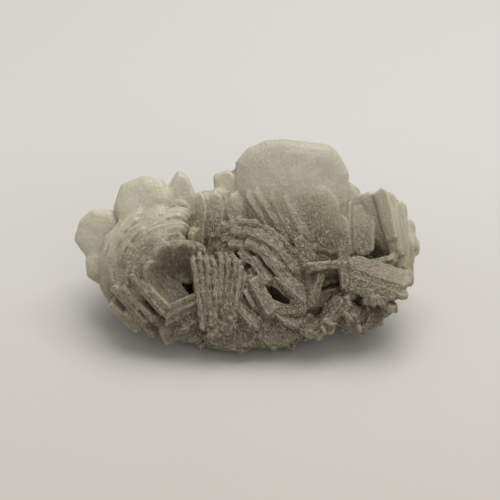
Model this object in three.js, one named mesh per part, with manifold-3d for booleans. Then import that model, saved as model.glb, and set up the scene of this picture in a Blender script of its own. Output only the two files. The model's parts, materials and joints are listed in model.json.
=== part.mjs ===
import * as THREE from "three";
import { mergeVertices } from "three/addons/utils/BufferGeometryUtils.js";
import Module from "manifold-3d";

const wasm = await Module();
wasm.setup();

// A hand specimen of barite: thick tabular crystals grown together in combs and roses on a
// massive root, all one solid. Millimetres, +Z up, origin on the flat spot that it rests on.
// The crystals are laid out on the specimen's face as it is looked at: a point there is
// across, up the face, and out of the face. The face is then leaned back onto the flat spot.
const LEAN_BACK = 35; // degrees between the way the face looks and level
const FACE_HEIGHT = 27; // from the flat spot up to the middle of the face
const FACE_FORWARD = 7; // from the middle of the flat spot out to the middle of the face
const EDGE = 0.5; // width of the bevel round a crystal's front, as a share of its thickness
const UNEVEN = 0.06; // how far a corner strays, as a share of half a crystal's size
const OVERLAP = 1.22; // how much wider a petal is than its share of the ring
const PETAL_SWAY = 0.3; // how far a petal strays along its ring, as a share of its place
const FLARE_SWAY = 5; // how far a petal's flare strays, in degrees
const DROP = 1.6; // how late a wall's layers fall back, 1 for evenly
const ROUGH = 0.14; // unevenness of the root, as a share of its size

// Outlines of a crystal's broad face, in halves of its length and width, root to tip.
const CUTS = {
  comb: [[-1, -0.6], [0.2, -0.97], [0.76, -0.68], [0.98, -0.1], [0.84, 0.62], [0.2, 0.97], [-1, 0.6]],
  petal: [[-1, -0.85], [0.7, -1], [0.96, -0.72], [1, -0.1], [0.93, 0.55], [0.66, 1], [-1, 0.85]],
  blade: [[-1, -0.85], [0.82, -0.95], [1, -0.3], [0.84, 0.95], [-1, 0.85]],
  point: [[-1, -0.75], [0.1, -0.98], [0.86, -0.36], [1, 0.06], [0.5, 0.66], [-0.1, 0.95], [-1, 0.7]],
  crown: [
    [-1, 0.14], [-0.69, -0.83], [-0.17, -1], [0.3, -0.98], [0.43, -0.96], [0.8, -0.68], [0.91, -0.28],
    [0.96, 0.21], [0.93, 0.46], [0.79, 0.79], [0.59, 0.96], [0.1, 0.99], [-0.77, 0.63],
  ],
};

// A repeatable number from 0 to 1 for a whole number.
function chance(n) {
  const x = Math.sin(n * 12.9898 + 4.1414) * 43758.5453;
  return x - Math.floor(x);
}

// A crystal of the list: where its middle is, how it is turned, and its length, width, thickness.
// turn is the way it grows, in degrees from across the face; lean tips its growing end out of
// the face; roll turns it on its own length, 0 flat to the viewer and 90 edge on; bow is how far
// its sides curl forward.
function crystal(across, up, out, turn, lean, roll, long, wide, thick, cut = "comb", bow = 0) {
  return { at: [across, up, out], turn, lean, roll, size: [long, wide, thick], cut, bow };
}

// The value at a share from 0 to 1 of the way along a list.
function along(list, share) {
  const spot = share * (list.length - 1);
  const low = Math.min(Math.floor(spot), list.length - 2);
  return list.length === 1 ? list[0] : list[low] + (list[low + 1] - list[low]) * (spot - low);
}

// A wall of a rose: petals in layers, each layer outside and behind the one before it. Their tips
// reach out to a radius on the face and stand at a depth out of it, and flare is the angle from
// straight out of the face to the way that they grow, negative into the face. curve is how round
// the petals are, 0 flat.
function wall(plan) {
  const { rose, angles, inner = 0, outer, depths, flares, layers = 1, petals, long, thick, curve = 1 } = plan;
  const [from, to] = angles;
  const found = [];
  for (let layer = 0; layer < layers; layer += 1) {
    const t = layers > 1 ? layer / (layers - 1) : 1;
    for (let i = 0; i < petals; i += 1) {
      const seed = Math.round(Math.abs(rose[0]) * 5 + from + layer * 31 + i * 7 + 400);
      const share = (i + 0.5 + (petals > 1 ? PETAL_SWAY * (chance(seed) - 0.5) : 0)) / petals;
      const turn = from + (to - from) * share;
      const radius = inner + (along(outer, share) - inner) * t;
      const flare = along(flares, t) + FLARE_SWAY * (chance(seed + 1) - 0.5);
      const lean = (flare > 0 ? 90 : -90) - flare;
      const rad = THREE.MathUtils.degToRad(turn);
      const tilt = THREE.MathUtils.degToRad(lean);
      const reach = radius - (Math.cos(tilt) * long) / 2;
      const wide = (OVERLAP * radius * THREE.MathUtils.degToRad(to - from)) / petals;
      found.push(
        crystal(
          rose[0] + reach * Math.cos(rad),
          rose[1] + reach * Math.sin(rad),
          depths[0] + (depths[1] - depths[0]) * t ** DROP - (Math.sin(tilt) * long) / 2,
          turn, lean, 0, long, wide, thick, "petal", (Math.sign(flare) * curve * wide * wide) / (8 * radius),
        ),
      );
    }
  }
  return found;
}

// The left rose's middle on the face.
const LEFT_ROSE = [-17, -9.5];

// across, up, out, turn, lean, roll, long, wide, thick, cut
const COMBS = [
  crystal(13.3, 14.6, -4.5, 90, -8, 0, 34, 33, 5, "crown"),
  crystal(14.5, 7, -2.6, 96, -5, 3, 24, 25, 3),
  crystal(25.2, 10.6, -5, 74, -12, -6, 18, 13, 3, "blade"),
  crystal(31.6, 8.6, -7, 82, -10, -14, 14, 11, 2.6, "blade"),
  crystal(22.4, -2, -1.2, 102, 0, -12, 16, 16, 2, "petal"),
  crystal(-4.9, 14.7, -6, 92, -10, 8, 14, 7.6, 2.6, "blade"),
  crystal(-7.6, 9, -3.5, 92, -6, 22, 16, 8, 3.4, "blade"),
  crystal(-11.6, 7.5, -2.5, 86, -6, 30, 18, 6, 3, "blade"),
  crystal(-17.8, 10, -3, 91, -6, -4, 22.5, 10.5, 3.4, "point"),
  crystal(-27.6, 10.4, -3.5, 101, -10, 4, 20.5, 18.5, 4.4),
  crystal(-39, 2.8, -7, 150, -6, 6, 18, 16, 4),
  crystal(-38, -5, -6, 178, -8, -12, 14, 13, 3.4),
  crystal(-34.5, -10.5, -5.5, 208, -2, -16, 12, 10, 3, "blade"),
];

const LEFT_WALLS = [
  {
    rose: LEFT_ROSE, angles: [88, 196], inner: 11.4, outer: [22, 23.5, 25, 23, 18], depths: [5.6, -1.5],
    flares: [26, 62], layers: 4, petals: 3, long: 14, thick: 3,
  },
  {
    rose: LEFT_ROSE, angles: [192, 246], inner: 7.4, outer: [15.6], depths: [5.6, 0.4],
    flares: [20, 44], layers: 4, petals: 1, long: 13, thick: 1.9, curve: 0.2,
  },
  {
    rose: LEFT_ROSE, angles: [262, 328], inner: 7.6, outer: [14.4], depths: [5.6, 4.6],
    flares: [6, 24], layers: 4, petals: 1, long: 13, thick: 1.6, curve: 0.2,
  },
];

const HEART_WALL = {
  rose: [0.7, -8.6], angles: [-18, 126], inner: 9, outer: [18, 16.4, 15.4, 16, 15.6], depths: [3.4, 4.2],
  flares: [30, 44], layers: 3, petals: 3, long: 13, thick: 2.3,
};

const HEART = [
  crystal(-9.2, -10.5, 0.2, 4, 86, 0, 14, 19, 1.7, "petal"),
  crystal(-6.8, -12, 0.4, 0, 82, 0, 14, 24, 1.7, "petal"),
  crystal(-4.4, -13, -0.3, -4, 77, 0, 14, 24, 1.7, "petal"),
  crystal(-2.2, -13, -1.4, -2, 70, 0, 13, 21, 1.7, "petal"),
  crystal(3.6, -8.4, 2.6, -36, 40, 66, 11, 6, 2, "blade"),
  crystal(5.6, -15, 5.2, -62, 4, 24, 13.5, 6.6, 3, "blade"),
  crystal(13.6, -11.6, 4.4, -48, 6, 28, 14, 8, 3, "blade"),
  crystal(19.4, -12, 4.4, -78, 10, 58, 12, 8, 2.2, "blade"),
  crystal(12.4, -17.4, 5.6, 4, 6, 34, 12, 5.4, 2.4, "blade"),
  crystal(15.6, -20.6, 3.8, -16, 0, 18, 13, 7, 3.6, "blade"),
  crystal(24.2, -18.2, 3.6, 46, 8, 48, 13, 8, 2.6, "blade"),
  crystal(29.6, -16.8, 2.4, -42, 6, 40, 12, 7, 2.4, "blade"),
  crystal(30.4, -18.8, 0, -24, -6, 16, 12, 8, 3.4, "blade"),
  crystal(35.2, -17, -0.6, -96, 0, 40, 10, 6, 2.6, "blade"),
  crystal(1.2, -18.6, 2.6, -48, 12, 66, 13, 9, 2, "blade"),
  crystal(-8, -19.6, 1.8, -70, 8, 64, 12, 9, 2.2, "blade"),
];

const KEEL = [
  crystal(-15, -22, -2, -106, -20, 8, 13, 15, 5, "blade"),
  crystal(-3.4, -23.8, 0.4, -91, -14, -4, 13, 19, 5.4, "blade"),
  crystal(9.8, -22.8, 0.2, -78, -14, 5, 13, 17, 5.4, "blade"),
  crystal(23, -17.8, -2.6, -78, -14, 8, 13, 18, 5.4, "blade"),
];

const RIGHT_SIDE = [
  crystal(22.4, -6.6, 3, 186, 14, 62, 14, 9, 2.2, "blade"),
  crystal(28, -8.6, 2.6, -80, 10, 74, 13, 7, 2.4, "blade"),
  crystal(32, -4, -5, -48, 24, 30, 12, 8, 2.4, "blade"),
  crystal(36.4, -7.4, 1.2, -15, 2, 44, 18, 9, 2, "petal"),
  crystal(36.2, -9.8, 2.2, -17, 2, 58, 18, 9, 1.8, "petal"),
  crystal(34.8, -11.6, 2.8, -20, 3, 68, 17, 9, 1.8, "petal"),
  crystal(33.2, -13.2, 3, -25, 4, 76, 15, 9, 1.8, "petal"),
  crystal(44, -8.6, -2, -4, -4, 20, 7, 5.4, 2.4, "blade"),
  crystal(35, -13, -4, -30, -16, 20, 15, 13, 5),
  crystal(38.6, 9.6, -6.4, 88, -4, 14, 15, 6, 2.6, "point"),
];

const RIGHT_WALL = {
  rose: [29.8, -7.2], angles: [4, 70], inner: 12.6, outer: [15, 16.8, 20, 23.8, 25.8], depths: [-2.6, -6],
  flares: [32, 56], layers: 4, petals: 3, long: 13, thick: 2.6,
};

const BACK = [
  crystal(9, 12, -13, 88, -20, 4, 26, 25, 4),
  crystal(17, 8, -20, 82, -36, -6, 24, 22, 4),
  crystal(2, 8, -22, 98, -44, 8, 22, 18, 3.6),
  crystal(-24, 7, -12, 104, -26, -4, 20, 18, 4),
  crystal(-17, 4, -20, 92, -42, 6, 20, 17, 3.6),
  crystal(-33, 2, -15, 140, -34, 8, 18, 15, 3.6),
  crystal(34, 4, -15, 60, -30, -6, 17, 14, 3.6),
  crystal(14, -2, -22, 110, -64, 10, 16, 14, 3.4),
  crystal(20, -6, -21, -40, -55, 0, 14, 13, 3.4),
];

const BACK_WALLS = [
  {
    rose: [-20, -3], angles: [10, 250], outer: [16, 17, 20, 19], depths: [-23, -23],
    flares: [-60, -60], petals: 5, long: 15, thick: 3.6, curve: 0.5,
  },
  {
    rose: [17, 0], angles: [-80, 170], outer: [18, 20, 21, 17], depths: [-23, -23],
    flares: [-60, -60], petals: 5, long: 16, thick: 3.6, curve: 0.5,
  },
  {
    rose: [-18, -8], angles: [165, 270], outer: [22, 20, 16.4, 15, 16.4], depths: [-12, -12],
    flares: [-80, -80], petals: 3, long: 15, thick: 4.4,
  },
  {
    rose: [20, -6], angles: [-88, 6], outer: [16.5, 16, 17.6, 19.6, 21, 22], depths: [-12, -12],
    flares: [-80, -80], petals: 3, long: 15, thick: 4.4,
  },
];

// The massive root that every crystal grows from: middle, and half sizes along the face's axes.
const ROOT_LUMPS = [
  { at: [-20, -6, -15], half: [18, 16, 11] },
  { at: [5, -5.5, -13], half: [22, 20, 13] },
  { at: [26, -5, -16.5], half: [15, 15, 12] },
];

// From the face's own axes to the way that the specimen stands.
function standing() {
  const rad = THREE.MathUtils.degToRad(LEAN_BACK);
  const up = new THREE.Vector3(0, Math.sin(rad), Math.cos(rad));
  const out = new THREE.Vector3(0, -Math.cos(rad), Math.sin(rad));
  const stand = new THREE.Matrix4().makeBasis(new THREE.Vector3(1, 0, 0), up, out);
  return stand.setPosition(0, -FACE_FORWARD, FACE_HEIGHT);
}

// A closed geometry as a solid, and back.
function solid(geometry) {
  geometry.deleteAttribute("normal");
  geometry.deleteAttribute("uv");
  const merged = mergeVertices(geometry, 1e-4);
  return new wasm.Manifold(
    new wasm.Mesh({
      numProp: 3,
      vertProperties: merged.attributes.position.array,
      triVerts: new Uint32Array(merged.index.array),
    }),
  );
}

function geometryOf(body) {
  const mesh = body.getMesh();
  const geometry = new THREE.BufferGeometry();
  geometry.setAttribute("position", new THREE.BufferAttribute(mesh.vertProperties, 3));
  geometry.setIndex(new THREE.BufferAttribute(mesh.triVerts, 1));
  return geometry;
}

// One tabular crystal: a slab along its outline, bevelled all round its front.
function crystalSolid({ at, turn, lean, roll, size, cut, bow }, number) {
  const [long, wide, thick] = size;
  const outline = CUTS[cut];
  const profile = [[0, -0.5], [1, -0.5], [1, 0.5], [0, 0.5]].map(([r, h]) => new THREE.Vector2(r, h * thick));
  const slab = new THREE.LatheGeometry(profile, outline.length);
  const place = slab.attributes.position;
  for (let k = 0; k < place.count; k += 1) {
    const corner = Math.floor(k / profile.length) % outline.length;
    const row = k % profile.length;
    const stray = UNEVEN * (2 * chance(number * 17 + corner) - 1);
    const u = ((outline[corner][0] * long) / 2) * (1 + stray);
    const v = ((outline[corner][1] * wide) / 2) * (1 - stray);
    const reach = [0, 1, 1 - (EDGE * thick) / Math.hypot(u, v), 0][row];
    const curl = bow * ((2 * v * reach) / wide) ** 2;
    place.setXYZ(k, u * reach, v * reach, place.getY(k) + curl);
  }
  const angles = [-roll, -lean, turn].map(THREE.MathUtils.degToRad);
  slab.applyMatrix4(new THREE.Matrix4().makeRotationFromEuler(new THREE.Euler(...angles, "ZYX")));
  slab.translate(...at);
  slab.applyMatrix4(standing());
  return solid(slab);
}

// A lump of the root: a rough ball drawn out to its half sizes.
function lumpSolid({ at, half }, number) {
  const ball = new THREE.IcosahedronGeometry(1, 2);
  ball.deleteAttribute("normal");
  ball.deleteAttribute("uv");
  const lump = mergeVertices(ball, 1e-4);
  const place = lump.attributes.position;
  for (let i = 0; i < place.count; i += 1) {
    const rough = 1 + ROUGH * (chance(number * 97 + i) - 0.5);
    place.setXYZ(i, place.getX(i) * rough, place.getY(i) * rough, place.getZ(i) * rough);
  }
  lump.scale(...half);
  lump.translate(...at);
  lump.applyMatrix4(standing());
  return solid(lump);
}

// What lies under the flat spot is cut away.
function ground() {
  const slab = new THREE.BoxGeometry(200, 200, 40);
  slab.translate(0, 0, -20);
  return solid(slab);
}

const walls = [...LEFT_WALLS, HEART_WALL, RIGHT_WALL, ...BACK_WALLS].flatMap(wall);
const crystals = [...COMBS, ...walls, ...HEART, ...KEEL, ...RIGHT_SIDE, ...BACK];
const grown = wasm.Manifold.union([...ROOT_LUMPS.map(lumpSolid), ...crystals.map(crystalSolid)]);
const stood = grown.subtract(ground());
// Pockets that the crystals close in among themselves are left solid.
const largest = stood.decompose().reduce((a, b) => (a.volume() > b.volume() ? a : b));

const cluster = new THREE.Mesh(
  geometryOf(largest),
  new THREE.MeshStandardMaterial({ color: 0xa7a28e, roughness: 0.55, metalness: 0 }),
);
cluster.name = "barite_cluster";

const specimen = new THREE.Group();
specimen.add(cluster);
export default specimen;
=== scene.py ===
"""A hand specimen of barite: combs and roses of thin pale plates on a clay-stained root."""
import json
import math

import bpy
import numpy as np
from mathutils import Euler, Matrix, Vector
from mathutils.bvhtree import BVHTree

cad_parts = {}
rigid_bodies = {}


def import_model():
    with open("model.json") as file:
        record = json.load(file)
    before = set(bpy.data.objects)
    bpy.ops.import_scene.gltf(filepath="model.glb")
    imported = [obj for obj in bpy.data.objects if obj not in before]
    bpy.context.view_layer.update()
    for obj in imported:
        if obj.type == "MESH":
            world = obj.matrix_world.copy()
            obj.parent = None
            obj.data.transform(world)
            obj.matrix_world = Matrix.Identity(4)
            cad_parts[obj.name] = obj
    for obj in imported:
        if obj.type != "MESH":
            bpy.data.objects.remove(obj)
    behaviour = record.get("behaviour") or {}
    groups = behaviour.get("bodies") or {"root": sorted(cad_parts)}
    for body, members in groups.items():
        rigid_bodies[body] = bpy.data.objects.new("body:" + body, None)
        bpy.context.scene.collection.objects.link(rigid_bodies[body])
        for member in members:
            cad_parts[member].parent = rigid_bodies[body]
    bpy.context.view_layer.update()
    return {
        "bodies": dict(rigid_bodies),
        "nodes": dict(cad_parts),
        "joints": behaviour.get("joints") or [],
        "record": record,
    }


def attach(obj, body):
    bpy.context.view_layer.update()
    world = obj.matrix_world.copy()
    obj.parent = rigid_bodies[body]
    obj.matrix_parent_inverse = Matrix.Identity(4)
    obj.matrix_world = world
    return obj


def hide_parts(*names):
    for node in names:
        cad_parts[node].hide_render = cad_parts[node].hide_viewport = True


# Lengths are in millimetres and angles in degrees, on the specimen's face, where nothing else is said.
MM = 0.001
# A length, in metres, that is as good as none.
TINY = 1e-6
LEAN_BACK = math.radians(35)
FACE_HEIGHT = 27
FACE_FORWARD = 7
# How much shorter a crystal's front leaf is than its back one, as a share of the crystal's thickness.
BEVEL = 0.5
# How unevenly a rose's petals stand in their places, and lean.
PETAL_SWAY = 0.3
FLARE_SWAY = 5
# The power by which a rose's wall drops from its inner depth to its outer one, and how much wider than
# its place each petal is.
DROP = 1.6
SPREAD = 1.22
# The leaves of a small seated blade are this thick.
STUD_LEAF = 0.9

# From the specimen's face (across, up, out) to the way that it stands.
STAND = Matrix((
    (1, 0, 0, 0),
    (0, math.sin(LEAN_BACK), -math.cos(LEAN_BACK), -FACE_FORWARD),
    (0, math.cos(LEAN_BACK), math.sin(LEAN_BACK), FACE_HEIGHT),
    (0, 0, 0, 1),
))

# Outlines of a plate's broad face in halves of its length and width, root to tip.
CUTS = {
    "blade": ((-1, -0.85), (0.82, -0.95), (1, -0.3), (0.84, 0.95), (-1, 0.85)),
    "comb": ((-1, -0.6), (0.2, -0.97), (0.76, -0.68), (0.98, -0.1), (0.84, 0.62), (0.2, 0.97), (-1, 0.6)),
    "crown": (
        (-1, 0.14), (-0.69, -0.83), (-0.17, -1), (0.3, -1), (0.44, -0.99), (0.86, -0.73), (0.92, -0.28),
        (0.96, 0.21), (0.93, 0.46), (0.79, 0.79), (0.59, 0.96), (0.1, 0.99), (-0.77, 0.63),
    ),
    "lath": (
        (-1, -0.25), (-0.82, -0.8), (0.84, -0.95), (1, -0.2), (0.86, 0.92), (-0.75, 0.85), (-1, 0.3),
    ),
    "petal": ((-1, -0.85), (0.7, -1), (0.96, -0.72), (1, -0.1), (0.93, 0.55), (0.66, 1), (-1, 0.85)),
    "point": ((-1, -0.75), (0.1, -0.98), (0.86, -0.36), (1, 0.06), (0.5, 0.66), (-0.1, 0.95), (-1, 0.7)),
}
CUTS["lens"] = CUTS["comb"]
# The cuts whose front is one smooth dome, and those with fewer nicks in their outline.
DOMED = ("crown", "lens")
EVEN = (*DOMED, "petal")
# How many different meshes each cut has.
VARIANTS = 3
# The tint of the few crystals that have kept clear of the stain. All others lie from 0 to 1.
CLEAN = 3.0
# The clay stain is deepest at the foot of the face's middle, and fades out at these reaches. Both are
# along X, Y and Z.
STAIN_CENTRE = (5, -20, 14)
STAIN_REACH = (45, 34, 28)
# Pockets of clay: across, up, out on the face, how far round, and how dark.
POCKETS = [
    (32.6, 3, -6, 7.5, 0.6), (-16.5, -6, 0, 8, 0.45), (-14.4, 7.4, -2, 3.6, 0.8), (-14, -9.4, -2, 4, 1),
    (11.7, -14, 0, 5, 1), (20.5, -16.8, 0, 4.4, 1), (24.3, -10, 0, 4.6, 1), (31.6, -16.4, -2, 5, 0.7),
    (-2, -4, 1, 3.4, 0.7), (3, -9, 1, 5.5, 0.5), (32, -2, -2, 16, 0.45), (36, -2.6, -3, 2, 1),
]


def chance(n):
    """A repeatable number from 0 to 1 for a whole number."""
    x = math.sin(n * 12.9898 + 4.1414) * 43758.5453
    return x - math.floor(x)


def crystal(across, up, out, turn, lean, roll, long, wide, thick, cut="blade", bow=0.0, clean=False):
    """One thick tabular crystal, by its middle on the specimen's face.

    turn is the way that it grows on the face, lean is how far it points out of the face, and roll is how
    far it is tipped about its length. bow is how far its long edges stand out from its middle.
    """
    return {
        "at": (across, up, out), "turn": turn, "lean": lean, "roll": roll,
        "long": long, "wide": wide, "thick": thick, "cut": cut, "bow": bow, "clean": clean,
    }


def along(values, share):
    """The value at a share from 0 to 1 of the way along a list."""
    spot = share * (len(values) - 1)
    low = min(int(spot), len(values) - 2)
    return values[low] + (values[low + 1] - values[low]) * (spot - low)


def axes_of(turn, lean, roll=0):
    """The directions of a crystal's length, width and thickness on the face."""
    return Euler([math.radians(a) for a in (-roll, -lean, turn)], "XYZ").to_matrix()


def wall(rose, angles, outer, depths, flares, petals, long, thick,
         inner=0.0, layers=1, curve=1.0, finer=1, split=1):
    """Petals of a rose in layers, each layer outside and behind the one before it."""
    start, end = angles
    count = (layers - 1) * finer + 1
    wide_count = petals * split
    found = []
    for layer in range(count):
        t = layer / (count - 1) if count > 1 else 1.0
        for i in range(wide_count):
            seed = round(abs(rose[0]) * 5 + start + layer * 31 + i * 7 + 400)
            sway = PETAL_SWAY * (chance(seed) - 0.5)
            share = (i + 0.5 + sway) / wide_count
            turn = start + (end - start) * share
            radius = inner + (along(outer, share) - inner) * t
            flare = along(flares, t) + FLARE_SWAY * (chance(seed + 1) - 0.5)
            lean = (90 if flare > 0 else -90) - flare
            tilt = math.radians(lean)
            reach = radius - math.cos(tilt) * long / 2
            wide = SPREAD * radius * math.radians(end - start) / wide_count
            bow = math.copysign(curve * wide * wide / (8 * radius), flare)
            found.append(crystal(
                rose[0] + reach * math.cos(math.radians(turn)),
                rose[1] + reach * math.sin(math.radians(turn)),
                depths[0] + (depths[1] - depths[0]) * t ** DROP - math.sin(tilt) * long / 2,
                turn, lean, 0, long, wide, thick, "petal", bow,
            ))
    return found


# The middle of the left rose, across and up, and how far from it the petals of its bowl sit.
LEFT_ROSE = (-17, -9.5)
BOWL_RADIUS = 6.8

# The crown: two big discs, one before the other, with smaller combs beside them and at their foot.
CROWN = [
    crystal(13.3, 14.6, -4.5, 90, -8, 0, 34, 33, 5, "crown"),
    crystal(14.5, 6, -2.8, 96, -5, 3, 26, 26, 3.4, "crown"),
    crystal(25.2, 10.6, -5, 74, -12, -6, 18, 13, 3),
    crystal(31.6, 8.6, -7, 82, -10, -14, 14, 11, 2.6),
    crystal(22.4, -2, -1.6, 100, 0, -8, 18, 17, 2.2, "comb"),
    crystal(-4.9, 14.7, -6, 92, -10, 8, 14, 7.6, 2.6),
    crystal(-1.2, 8, -3.6, 94, -8, -4, 18, 8, 3, "comb"),
    crystal(-7.6, 9, -3.5, 92, -6, 12, 16, 8, 3.4, "comb"),
    crystal(-12.2, 7.5, -2.5, 88, -6, 16, 18, 6, 3, "comb"),
    crystal(-14.3, 2.4, 1.2, 90, 0, 4, 6, 3.9, 4, clean=True),
    crystal(-17.8, 4.4, 0.6, 90, 2, -10, 8, 4, 3),
]
# Long steps on the crown's foot, one behind another, in line with the arch below them.
STEPS = [
    crystal(5.8, 9.4, -1.75, -55, 5.2, 13, 15, 6, 1.2, "lath"),
    crystal(9.4, 9, -1.55, -57, 5.2, 14, 20, 6.6, 1.2, "lath"),
    crystal(13, 7.6, -1.45, -60, 5.2, 14, 20, 7, 1.2, "lath"),
    crystal(16.8, 7.2, -1.5, -65, 5.6, 13, 20, 7, 1.2, "lath"),
    crystal(20.6, 6, -1.6, -71, 5.6, 11, 18, 7, 1.2, "lath"),
    crystal(24, 4.8, -1.6, -77, 5, 8, 16, 7, 1.2, "lath"),
    crystal(26.8, 2.4, -1.8, -82, 5, 2, 13, 7, 1.2, "lath"),
]
# The pale domes and points of the left side.
LEFT_COMBS = [
    crystal(-17.3, 10.2, -3, 92, -6, -4, 23, 12.6, 3.6, "point"),
    crystal(-27.6, 10.4, -3.5, 101, -10, 4, 20.5, 19.5, 4.8, "lens"),
    crystal(-22.6, 7.2, -2.2, 98, -4, 0, 15, 9, 1.6, "point"),
    crystal(-30.6, 4.4, -2.2, 112, -4, 0, 15, 10, 1.6, "point"),
    crystal(-39, 2.8, -7, 150, -6, 6, 18.4, 17, 4.4, "lens"),
    crystal(-38, -5, -6, 178, -8, -12, 14.4, 14, 3.8, "lens"),
    crystal(-34.5, -10.5, -5.5, 208, -2, -16, 12, 10, 3),
]
# The wall round the left rose's bowl, in layers of petals.
LEFT_WALL = dict(
    rose=LEFT_ROSE, angles=(92, 200), inner=11.4, outer=(22, 23.5, 25, 23, 18), depths=(5.6, -1.5),
    flares=(26, 62), layers=4, petals=3, long=14, thick=3)
# The inside of the rose's bowl: petals that lean out all round its middle.
BOWL = [
    crystal(LEFT_ROSE[0] + BOWL_RADIUS * math.cos(math.radians(turn)),
            LEFT_ROSE[1] + BOWL_RADIUS * math.sin(math.radians(turn)),
            2 + 0.8 * (i % 2), turn, 40 + 4 * (i % 3), 0, 12.4, 7.4, 1.5, "petal", 1.0)
    for i, turn in enumerate(range(66, 180, 19))
]
# The thick plates that lie in the bowl's mouth and below it.
LEFT_PLATES = [
    crystal(-20.2, -11.6, 2, -36, 8, 24, 14, 6.6, 1.6, "comb"),
    crystal(-16.8, -7.6, -0.4, -28, 14, 22, 9, 6, 1.4, "comb"),
    crystal(-22.4, -12.8, 3.4, -44, 3, 68, 12, 8, 1.5, clean=True),
    crystal(-24.8, -13.2, 3.6, -49, 2, 64, 16, 8, 2),
    crystal(-27.4, -15, 2, -46, 0, 58, 14, 8, 1.7),
    crystal(-29.8, -15.4, 1, -48, -3, 50, 15, 8, 2.1),
    crystal(-31.4, -18.2, -1, -42, -8, 42, 12, 8, 2, clean=True),
    crystal(-27, -19.8, -0.2, -36, -8, 34, 12, 8, 2.2),
    crystal(-32.2, -10.6, -0.4, -62, 0, 44, 10, 7, 2.2),
    crystal(-14.8, -15.4, 4.2, 24, 4, -64, 12, 7, 1.5),
    crystal(-15.2, -17.8, 3.6, 25, 2, -56, 12.5, 7, 1.3, clean=True),
    crystal(-15.6, -20, 2.6, 26, 0, -48, 12, 7, 1.5),
    crystal(-16.8, -22.6, 0.8, 24, -6, -34, 12.5, 7, 2, clean=True),
    crystal(-21.8, -20, 0.8, -20, 0, 20, 8, 6, 3),
]
# The ribs: eight long laths on edge, side by side, and two short ones beyond them.
RIBS = [
    crystal(-12.9 + 1.3 * i, -10.8 - 0.2 * i - 1.2 * (i == 0) + 1.2 * (chance(i + 60) - 0.5),
            1.8 - 0.14 * i + 0.8 * chance(i + 80), 98 - 2.6 * i, 5, 84 - 3 * i,
            19 + 3 * chance(i + 70), 12, 1.3)
    for i in range(8)
] + [
    crystal(-2.6, -11.6, 1.8, 74, 4, 54, 12, 10, 1.3),
    crystal(-1.4, -13.6, 1.4, 66, 4, 46, 11, 9, 1.2),
]
# The arch over the heart: a hood of overlapping plates, with two narrower ones nested under it.
ARCH = [
    crystal(-7.4, 0, 1, 72, 4, 12, 8, 5.6, 2),
    crystal(-5.6, 2.8, 1.6, 54, 4, 14, 8.4, 6.2, 2),
    crystal(-2.8, 4.5, 2.1, 27, 2, 16, 8.6, 6.4, 2),
    crystal(0.7, 4.8, 2.5, -5, 0, 20, 8.6, 6.4, 2),
    crystal(4.3, 3.6, 2.7, -25, 0, 24, 9, 6.2, 2.1),
    crystal(7.9, 1.6, 2.7, -37, 0, 26, 9, 6, 2.1, clean=True),
    crystal(11, -1.4, 2.7, -54, 0, 28, 9, 6, 2.1),
    crystal(13.4, -4.8, 2.6, -58, 0, 28, 10, 5.8, 2.1, "comb"),
    crystal(16, -8.4, 2.2, -54, 0, 24, 9, 5.2, 2, "comb"),
    crystal(-4.4, -1.2, 2.2, 32, 2, 36, 8, 4.2, 1.5),
    crystal(0.2, 0.7, 3.2, -2, 0, 40, 9, 4.6, 1.5),
    crystal(4.6, -0.6, 3.7, -30, 0, 42, 9, 4.8, 1.6),
    crystal(8.2, -3.6, 3.9, -50, 2, 42, 10, 5, 1.8),
    crystal(10.6, -7.2, 3.8, -60, 2, 40, 9, 4.8, 1.6, "comb"),
    crystal(2.2, -3.2, 3.5, -38, 4, 50, 8, 4.4, 1.4),
    crystal(5.6, -6.6, 3.7, -56, 6, 52, 9.4, 5, 1.6),
    crystal(17.4, -3.4, 0.8, -64, 0, 18, 13, 6, 2, "comb"),
    crystal(-13.4, -1.4, 3.6, -20, 6, 40, 6.4, 4.4, 2.4),
]
# The jumble of blades under the arch and to the right of it.
HEART = [
    crystal(0.2, -5.6, 2.4, 68, 26, -50, 8, 4.6, 1.6),
    crystal(2.6, -8.8, 2.6, -36, 30, 56, 9, 5, 1.8),
    crystal(-1, -9.6, 1.8, 40, 22, -40, 8, 5, 1.6),
    crystal(5.4, -14, 5, -62, 4, 18, 12.5, 5.4, 2.8, clean=True),
    crystal(14, -12, 4.2, -38, 4, 26, 12.5, 6, 2.8, clean=True),
    crystal(19.8, -11.8, 4.4, -106, 8, 30, 11, 4.4, 2.4),
    crystal(12, -18.6, 4.6, -30, 4, 22, 11, 6.4, 2.2, "comb", clean=True),
    crystal(16.4, -21, 3.2, -38, 0, 18, 12, 6.4, 3, "comb", clean=True),
    crystal(23.4, -18.8, 3.4, 49, 6, 44, 14, 6, 2.2),
    crystal(28.6, -16.6, 2.6, -45, 6, 36, 9, 5, 2.2, clean=True),
    crystal(30.4, -19.4, 0, -28, -6, 16, 12, 8, 3.4),
    crystal(35.6, -18.4, -0.8, -70, -4, 34, 9, 6, 2.6),
    crystal(39, -15.8, -2, -62, -4, 30, 8, 5, 2.4),
    crystal(-0.4, -15.2, 2.8, -52, 10, 56, 12, 7, 1.6),
    crystal(2.6, -17.4, 3, -50, 8, 48, 11, 7, 1.6),
    crystal(-3, -18.6, 2.2, -48, 8, 52, 10, 7, 1.6),
    crystal(-8, -20.4, 1.6, -70, 8, 50, 11, 8, 2.2),
]
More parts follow.
